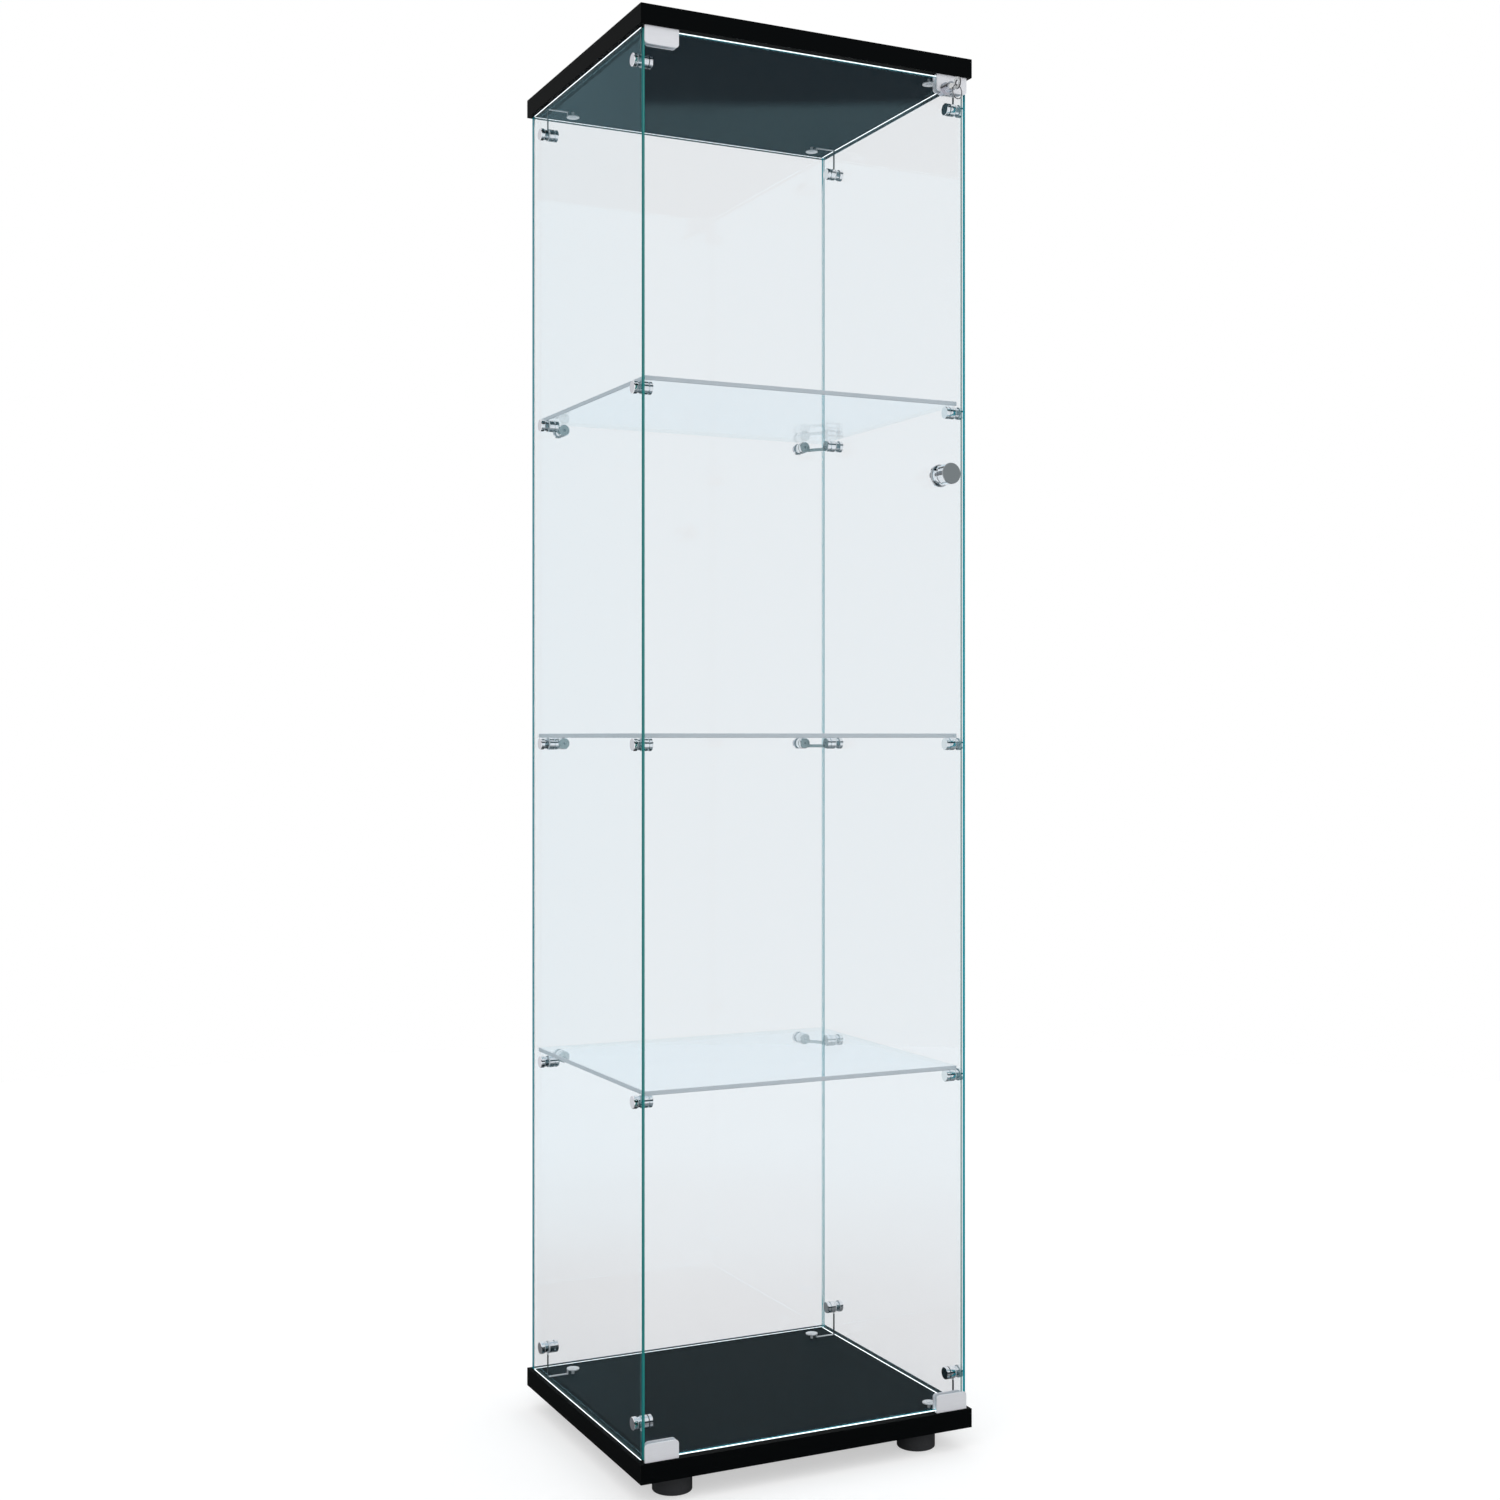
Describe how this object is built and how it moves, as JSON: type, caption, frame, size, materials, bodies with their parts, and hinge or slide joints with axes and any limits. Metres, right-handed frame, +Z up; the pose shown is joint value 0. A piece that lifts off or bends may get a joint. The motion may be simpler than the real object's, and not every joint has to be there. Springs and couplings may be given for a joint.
{
  "type": "glass display case",
  "caption": "Tall narrow free-standing display case: black boards on round feet, clear glass walls and shelves on chrome clamps, pivoting glass door with knob and corner lock.",
  "frame": {"origin": "On the floor, under the middle of the box that holds the whole case, key included.", "axes": "+X along the front to the right as seen from the front, +Y from the door to the back, +Z up."},
  "size_m": [0.42, 0.3995, 1.63],
  "materials": {
    "black_board": "black laminate over board, satin",
    "foot_plastic": "moulded, matt",
    "clear_glass": "clear float glass with polished green edges",
    "shelf_glass": "clear float glass with polished edges",
    "chrome": "polished plating",
    "steel_strip": "plated strip",
    "screw_steel": "zinc plated",
    "clear_soft": "clear soft plastic",
    "satin_metal": "satin, fine grained",
    "bush_plastic": "moulded acetal",
    "polished_metal": "polished plating, brushed on the knob's face",
    "key_metal": "nickel plated"
  },
  "bodies": {
    "cabinet": {"base_board": "black_board", "top_board": "black_board", "foot_front_left": "foot_plastic", "foot_front_right": "foot_plastic", "foot_back_left": "foot_plastic", "foot_back_right": "foot_plastic", "left_glass": "clear_glass", "right_glass": "clear_glass", "back_glass": "clear_glass", "lower_shelf": "shelf_glass", "middle_shelf": "shelf_glass", "upper_shelf": "shelf_glass", "clamp_outer_caps": "chrome", "clamp_end_caps": "chrome", "base_clamp_barrels": "chrome", "top_clamp_barrels": "chrome", "lower_shelf_clamp_barrels": "chrome", "middle_shelf_clamp_barrels": "chrome", "upper_shelf_clamp_barrels": "chrome", "lower_shelf_left_strap": "steel_strip", "lower_shelf_right_strap": "steel_strip", "middle_shelf_left_strap": "steel_strip", "middle_shelf_right_strap": "steel_strip", "upper_shelf_left_strap": "steel_strip", "upper_shelf_right_strap": "steel_strip", "base_bracket_front_left": "steel_strip", "base_bracket_front_right": "steel_strip", "base_bracket_rear_left": "steel_strip", "base_bracket_rear_right": "steel_strip", "top_bracket_front_left": "steel_strip", "top_bracket_front_right": "steel_strip", "top_bracket_rear_left": "steel_strip", "top_bracket_rear_right": "steel_strip", "clamp_studs": "screw_steel", "foot_screws": "screw_steel", "bracket_screws": "screw_steel", "clamp_outer_gaskets": "clear_soft", "clamp_inner_gaskets": "clear_soft", "lower_pivot_bush": "bush_plastic", "upper_pivot_bush": "bush_plastic"},
    "door": {"door_glass": "clear_glass", "lower_hinge_clip": "satin_metal", "upper_hinge_clip": "satin_metal", "lower_corner_clip": "satin_metal", "lock_clip": "satin_metal", "clip_pads": "clear_soft", "clip_screws": "screw_steel", "lower_pivot_pin": "screw_steel", "upper_pivot_pin": "screw_steel", "lock_barrel": "polished_metal", "knob": "polished_metal", "knob_washer": "clear_soft", "knob_screw": "screw_steel"},
    "lock": {"lock_core": "polished_metal", "lock_cam": "key_metal", "cam_screw": "screw_steel", "key": "key_metal"},
    "keys": {"key_ring": "key_metal"}
  },
  "joints": [
    {"name": "door_swing", "type": "hinge", "parent": "cabinet", "child": "door", "pos_m": [-0.199, -0.16275, 0.047], "axis": [0, 0, -1], "range_deg": [0, 105]},
    {"name": "lock_turn", "type": "hinge", "parent": "door", "child": "lock", "pos_m": [0.176, -0.17025, 1.591], "axis": [0, -1, 0], "range_deg": [0, 90]},
    {"name": "key_ring_hang", "type": "hinge", "parent": "lock", "child": "keys", "pos_m": [0.176, -0.19275, 1.5858], "axis": [0, -1, 0], "range_deg": [-90, 90]}
  ]
}
